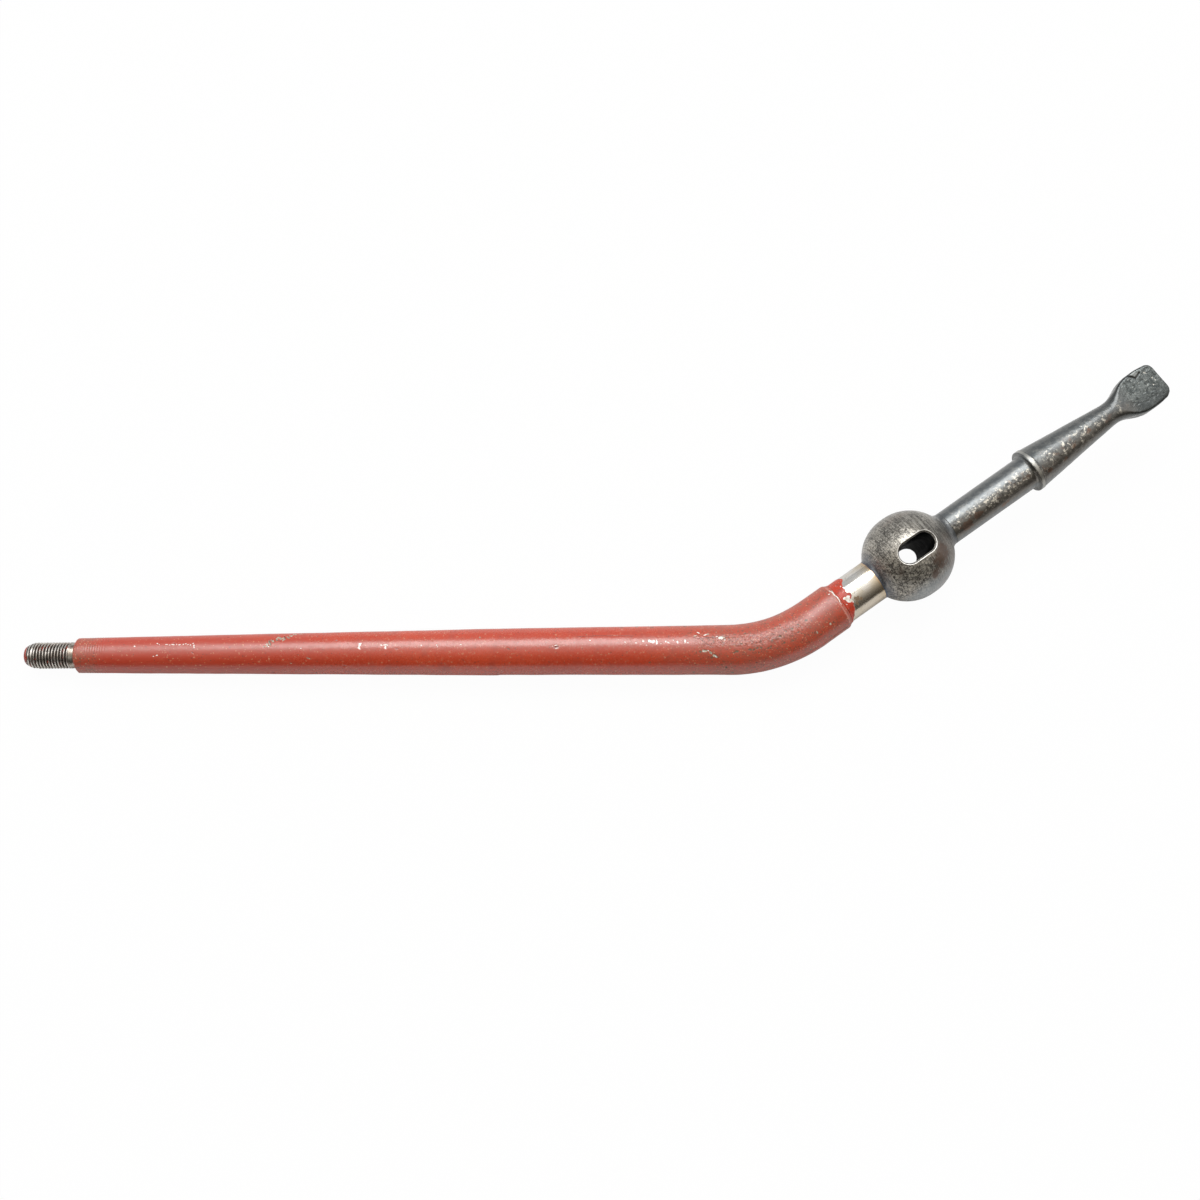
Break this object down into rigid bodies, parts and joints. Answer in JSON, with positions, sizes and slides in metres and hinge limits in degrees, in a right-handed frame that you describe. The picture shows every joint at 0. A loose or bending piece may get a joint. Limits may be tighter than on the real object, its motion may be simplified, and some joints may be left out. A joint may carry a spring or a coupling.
{
  "type": "tractor gear lever",
  "caption": "Cranked gear lever: painted tapered arm with a threaded knob end, ground neck, slotted pivot ball, round lower shaft and flattened selector finger.",
  "frame": {"origin": "centre of the pivot ball", "axes": "+X down the lower shaft to the selector finger, +Y to the side that the handle arm is cranked towards, +Z along the guide slot through the ball, square to the plane of the lever"},
  "size_m": [0.4676, 0.2017, 0.037],
  "materials": {
    "arm_paint": "worn satin oxide-red paint with chips",
    "thread_steel": "worn bright thread with paint in its roots",
    "neck_steel": "ground bright, straw and blue heat tint at the ball",
    "ball_steel": "dark turned steel, mottled brown",
    "shaft_steel": "dark blue-grey steel with polished wear",
    "finger_steel": "dark forged steel, worn at the edges, rust spots"
  },
  "bodies": {
    "root": {"handle_arm": "arm_paint", "knob_stud": "thread_steel", "neck_bar": "neck_steel", "pivot_ball": "ball_steel", "lower_shaft": "shaft_steel", "selector_finger": "finger_steel"}
  },
  "joints": []
}
